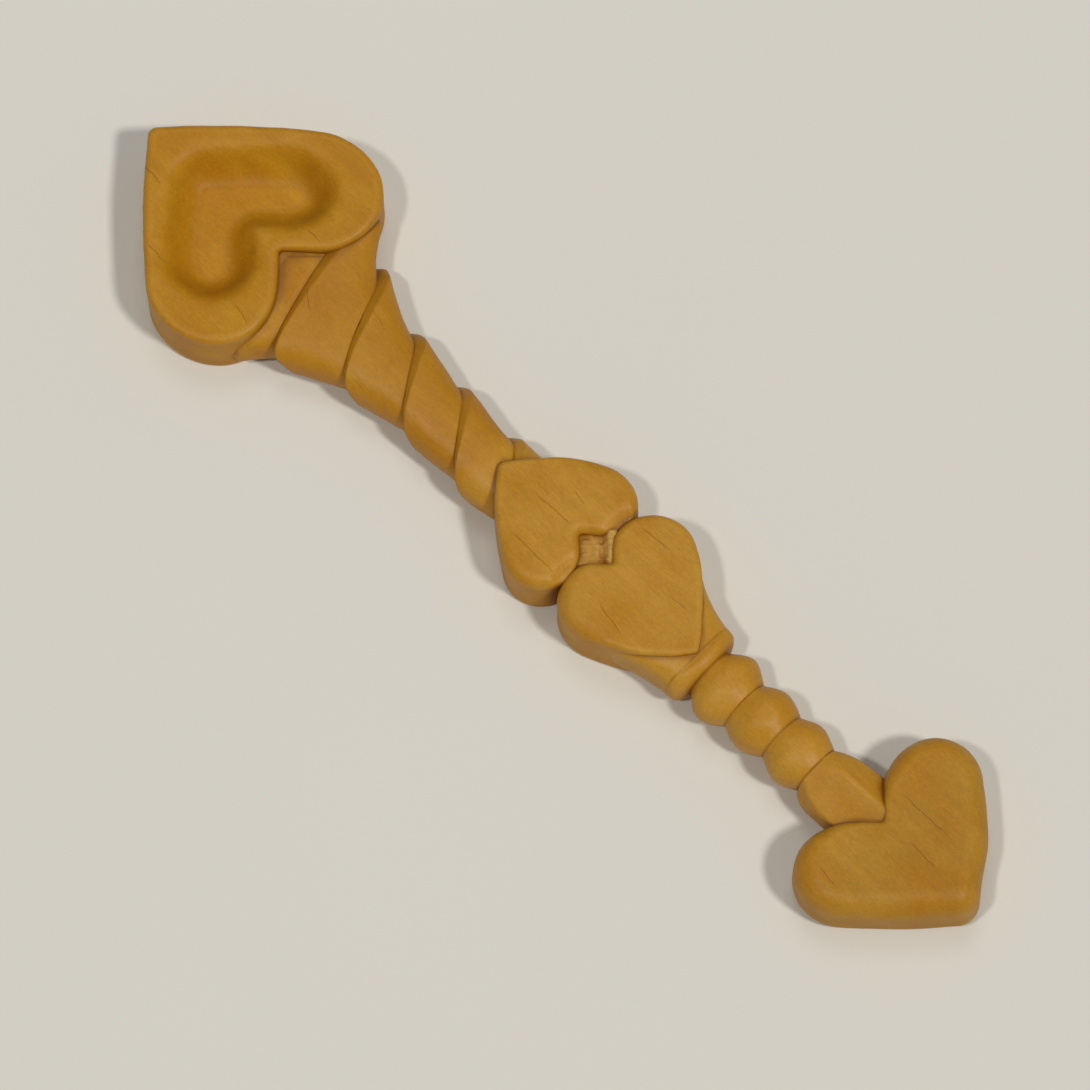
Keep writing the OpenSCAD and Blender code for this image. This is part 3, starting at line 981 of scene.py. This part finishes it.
cross = add(
    hair_tree, "ShaderNodeVectorMath", {0: from_start, 1: given["Run"]}, operation="CROSS_PRODUCT"
).outputs[0]
cross = add(hair_tree, "ShaderNodeSeparateXYZ", {"Vector": cross}).outputs["Z"]
aside = maths(hair_tree, "DIVIDE", cross, maths(hair_tree, "SQRT", whole))
waver = between(hair_tree, waver, 0.3, 0.7, -0.00014, 0.00014, "LINEAR")
aside = maths(hair_tree, "ABSOLUTE", maths(hair_tree, "ADD", aside, waver))
from_middle = maths(hair_tree, "ABSOLUTE", maths(hair_tree, "SUBTRACT", t, 0.5))
ends = between(hair_tree, from_middle, 0.3, 0.52, 1.0, 0.0)
width = maths(hair_tree, "MULTIPLY", given["Width"], ends)
width = maths(hair_tree, "ADD", width, 1e-6)
line = maths(hair_tree, "SUBTRACT", 1.0, maths(hair_tree, "DIVIDE", aside, width))
hair_tree.links.new(maths(hair_tree, "MAXIMUM", line, 0.0), out["Line"])
print("hairline group has", len(hair_tree.nodes), "nodes")
# Start and end of each line on the face of the board, and its half width
HAIRLINES = (
    (-96.4, -5.2, -91.6, -5.9, 0.24), (-85.7, -15.1, -80.9, -15.3, 0.14),
    (-66.7, -12.1, -62.4, -13.3, 0.13), (-67.7, 6.5, -64.4, 6.1, 0.13),
    (-49.7, 4.3, -46, 3.3, 0.13), (-5, 0, 3, 0.5, 0.15), (-3.5, -7.8, 6.8, -7.8, 0.16),
    (12, 8.6, 18.4, 9, 0.15), (16.5, -6.5, 23, -7.6, 0.15), (77, 5.8, 87.6, 6, 0.15),
    (83.5, 0.7, 90, 0.4, 0.16), (76, -13.4, 80, -13.8, 0.15), (-67.4, 0.6, -62.6, 5.4, 0.4),
    (-60.4, -1, -57, -3.6, 0.12), (2, 4.6, -1, 5, 0.12), (24, 3, 28, 3.4, 0.12),
)


def hairlines(tree, place):
    """All the known lines in one mask, on the upper half of the board only."""
    mask = None
    for x, y, to_x, to_y, half_w in HAIRLINES:
        node = add(tree, "ShaderNodeGroup", node_tree=hair_tree)
        tree.links.new(place, node.inputs["Place"])
        node.inputs["Start"].default_value = (x * MM, y * MM, 0)
        node.inputs["Run"].default_value = ((to_x - x) * MM, (to_y - y) * MM, 0)
        node.inputs["Width"].default_value = half_w * MM
        line = node.outputs["Line"]
        mask = maths(tree, "MAXIMUM", mask, line) if mask else line
    up = add(tree, "ShaderNodeSeparateXYZ", {"Vector": place}).outputs["Z"]
    return maths(tree, "MULTIPLY", mask, between(tree, up, 0.005, 0.007))


# %% [markdown]
# The wood is one material with a second, rougher version for the pit. Its colour wanders between a
# pale and a warm tone, crossed by faint bands, fibres and flecks. Three tints follow the place along
# the spoon. The bowl and the twist get a darker, more saturated tint, and the twist a second one.
# Both are painted shade that stands in for the weaker sheen there. The end heart is darker and more
# saturated too.

# %% Oiled wood
# Painted shade: darker, more saturated tints on the bowl and the twist, for their weaker sheen
LOW_SHEEN_SHADE_TINT = (0.97, 0.93, 0.3, 1)
TWIST_SHADE_TINT = (0.9, 0.84, 0.5, 1)
# The end heart is tinted darker and more saturated
END_HEART_TINT = (0.86, 0.86, 0.72, 1)
DARK_LINE = (0.17, 0.06, 0.004, 1)


def wood(name, pale, warm, deep, roughness, rough_cut):
    material = bpy.data.materials.new(name)
    material.use_nodes = True
    tree = material.node_tree
    shader = tree.nodes["Principled BSDF"]
    place = add(tree, "ShaderNodeTexCoord").outputs["Object"]
    grain = add(tree, "ShaderNodeGroup", node_tree=grain_tree)
    tree.links.new(place, grain.inputs["Place"])
    colour = blend(tree, "MIX", grain.outputs["Clouds"], pale, warm)
    dark = [c * 0.82 for c in warm[:3]] + [1]
    banded = maths(tree, "MULTIPLY", grain.outputs["Bands"], 0.3)
    colour = blend(tree, "MIX", banded, colour, dark)
    streak = between(tree, grain.outputs["Fibres"], 0.3, 0.7, 0.93, 1.06, "LINEAR")
    fleck = add(
        tree, "ShaderNodeTexNoise",
        {"Vector": stretched(tree, place, (1.1, 2.4, 2.4)), "Scale": 1.0, "Detail": 5.0,
         "Roughness": 0.75},
    ).outputs["Fac"]
    streak = maths(tree, "MULTIPLY", streak, between(tree, fleck, 0.3, 0.7, 0.87, 1.12, "LINEAR"))
    grey = add(tree, "ShaderNodeCombineColor", {"Red": streak, "Green": streak, "Blue": streak})
    colour = blend(tree, "MULTIPLY", 1.0, colour, grey.outputs["Color"])
    along = add(tree, "ShaderNodeSeparateXYZ", {"Vector": place}).outputs["X"]
    # Painted shade on the bowl and the twist, standing in for their weaker sheen
    low_sheen_shade = between(tree, along, -0.024, -0.01, 1.0, 0.0)
    colour = blend(tree, "MULTIPLY", low_sheen_shade, colour, LOW_SHEEN_SHADE_TINT)
    # A second painted shade tint on the twist alone
    twist = maths(
        tree, "MULTIPLY", between(tree, along, -0.066, -0.058),
        between(tree, along, -0.02, -0.014, 1.0, 0.0),
    )
    colour = blend(tree, "MULTIPLY", twist, colour, TWIST_SHADE_TINT)
    # Darker, more saturated tint over the end heart
    end_heart_tint_share = between(tree, along, 0.07, 0.082)
    colour = blend(tree, "MULTIPLY", end_heart_tint_share, colour, END_HEART_TINT)
    # Painted shade in occluded places and creases, and lightened edges (wear and painted highlight)
    shade_and_worn_edge = add(tree, "ShaderNodeGroup", node_tree=shade_and_worn_edge_tree)
    tree.links.new(colour, shade_and_worn_edge.inputs["Color"])
    tree.links.new(grain.outputs["Clouds"], shade_and_worn_edge.inputs["Mottle"])
    # The deep colour is the colour of the painted shade
    shade_and_worn_edge.inputs["Shade colour"].default_value = deep
    line = maths(tree, "MULTIPLY", hairlines(tree, place), 0.55)
    dark_line = maths(tree, "MAXIMUM", maths(tree, "MULTIPLY", grain.outputs["Threads"], 0.3), line)
    colour = blend(tree, "MIX", dark_line, shade_and_worn_edge.outputs["Color"], DARK_LINE)
    colour = blend(tree, "MIX", maths(tree, "MULTIPLY", grain.outputs["Pores"], 0.16), colour, dark)
    tree.links.new(colour, shader.inputs["Base Color"])
    rough = between(tree, grain.outputs["Fibres"], 0.3, 0.7, roughness - 0.05, roughness + 0.08)
    rough = maths(tree, "SUBTRACT", rough, maths(tree, "MULTIPLY", shade_and_worn_edge.outputs["Edge"], 0.08))
    tree.links.new(rough, shader.inputs["Roughness"])
    shader.inputs["IOR"].default_value = 1.45
    shader.inputs["Specular IOR Level"].default_value = 0.36
    cut = add(
        tree, "ShaderNodeTexNoise",
        {"Vector": stretched(tree, place, (0.5, 0.5, 0.5)), "Scale": 1.0, "Detail": 3.0},
    ).outputs["Fac"]
    height = maths(tree, "MULTIPLY", grain.outputs["Fibres"], 0.03)
    height = maths(tree, "SUBTRACT", height, maths(tree, "MULTIPLY", dark_line, 0.1))
    height = maths(tree, "SUBTRACT", height, maths(tree, "MULTIPLY", grain.outputs["Pores"], 0.012))
    height = maths(tree, "ADD", height, maths(tree, "MULTIPLY", cut, rough_cut))
    bump = add(tree, "ShaderNodeBump", {"Height": height, "Strength": 0.7, "Distance": MM})
    tree.links.new(bump.outputs["Normal"], shader.inputs["Normal"])
    print(name, len(tree.nodes), "nodes")
    return material


# Each finish gives a pale, a warm and a deep colour; the deep one is the painted shade
oiled_wood = wood(
    "oiled_wood", (0.57, 0.285, 0.024, 1), (0.52, 0.225, 0.006, 1), (0.29, 0.108, 0.001, 1), 0.52, 0.1
)
tooled_wood = wood(
    "tooled_wood", (0.68, 0.4, 0.1, 1), (0.52, 0.27, 0.04, 1), (0.3, 0.12, 0.01, 1), 0.75, 0.4
)
for piece in spoon:
    finish = tooled_wood if piece is pit_floor else oiled_wood
    piece.data.materials.clear()
    piece.data.materials.append(finish)

# %% [markdown]
# ## The studio
# The spoon lies on a plain pale sheet. Two lamps stand where daylight came from, one strong at the
# foot of the spoon and one weaker beside it, and both are broad enough for soft shadows. The sky
# fills in the rest.

# %% Floor
FLOOR_HALF = 1.2
bm = bmesh.new()
bmesh.ops.create_grid(bm, x_segments=4, y_segments=4, size=FLOOR_HALF)
floor = bpy.data.objects.new("floor", to_mesh(bm, "floor"))
bpy.context.scene.collection.objects.link(floor)
paper = bpy.data.materials.new("pale_sheet")
paper.use_nodes = True
tree = paper.node_tree
place = add(tree, "ShaderNodeTexCoord").outputs["Object"]
tone = add(
    tree, "ShaderNodeTexNoise", {"Vector": place, "Scale": 9.0, "Detail": 3.0}
).outputs["Fac"]
colour = blend(tree, "MIX", tone, (0.785, 0.757, 0.682, 1), (0.81, 0.785, 0.71, 1))
shader = tree.nodes["Principled BSDF"]
tree.links.new(colour, shader.inputs["Base Color"])
shader.inputs["Roughness"].default_value = 0.7
shader.inputs["Specular IOR Level"].default_value = 0.2
floor.data.materials.append(paper)

# %% Lamps
def lamp(name, azimuth, elevation, strength, width, colour):
    """A distant lamp that shines from an azimuth and an elevation, in degrees."""
    data = bpy.data.lights.new(name, "SUN")
    data.energy = strength
    data.angle = math.radians(width)
    data.color = colour
    piece = bpy.data.objects.new(name, data)
    a, e = math.radians(azimuth), math.radians(elevation)
    towards = Vector((math.cos(e) * math.cos(a), math.cos(e) * math.sin(a), math.sin(e)))
    piece.rotation_euler = towards.to_track_quat("Z", "Y").to_euler()
    bpy.context.scene.collection.objects.link(piece)


lamp("window", 11, 57, 1.3, 7, (1.0, 0.985, 0.95))
lamp("side_window", -96, 66, 0.72, 5, (1.0, 0.985, 0.955))
lamp("far_window", 135, 68, 0.3, 24, (0.97, 0.98, 1.0))
world = bpy.data.worlds.new("room")
bpy.context.scene.world = world
world.use_nodes = True
world.node_tree.nodes["Background"].inputs["Color"].default_value = (0.95, 0.96, 1.0, 1)
world.node_tree.nodes["Background"].inputs["Strength"].default_value = 0.17
bpy.context.scene.view_settings.view_transform = "Standard"

# %% [markdown]
# ## The camera
# The spoon is seen from above and a little from its right, so that it runs down the picture from
# corner to corner. A long lens from 1.5 m keeps the picture almost free of perspective.

# %% Camera
AZIMUTH = math.radians(-44.5)
ELEVATION = math.radians(71.5)
ROLL = math.radians(-0.6)
DISTANCE = 1.5
LENS = 286.35
SHIFT = (-0.0119, -0.007)
towards = Vector((
    math.cos(ELEVATION) * math.cos(AZIMUTH), math.cos(ELEVATION) * math.sin(AZIMUTH),
    math.sin(ELEVATION),
))
right = Vector((-math.sin(AZIMUTH), math.cos(AZIMUTH), 0))
up = towards.cross(right)
across = right * math.cos(ROLL) + up * math.sin(ROLL)
upward = up * math.cos(ROLL) - right * math.sin(ROLL)
data = bpy.data.cameras.new("camera")
camera = bpy.data.objects.new("camera", data)
bpy.context.scene.collection.objects.link(camera)
camera.matrix_world = Matrix((
    (across.x, upward.x, towards.x, towards.x * DISTANCE),
    (across.y, upward.y, towards.y, towards.y * DISTANCE),
    (across.z, upward.z, towards.z, towards.z * DISTANCE),
    (0, 0, 0, 1),
))
data.lens = LENS
data.shift_x, data.shift_y = SHIFT
data.clip_start = 0.05
data.clip_end = 10
bpy.context.scene.camera = camera
print("lens", LENS, "mm, shift", SHIFT)
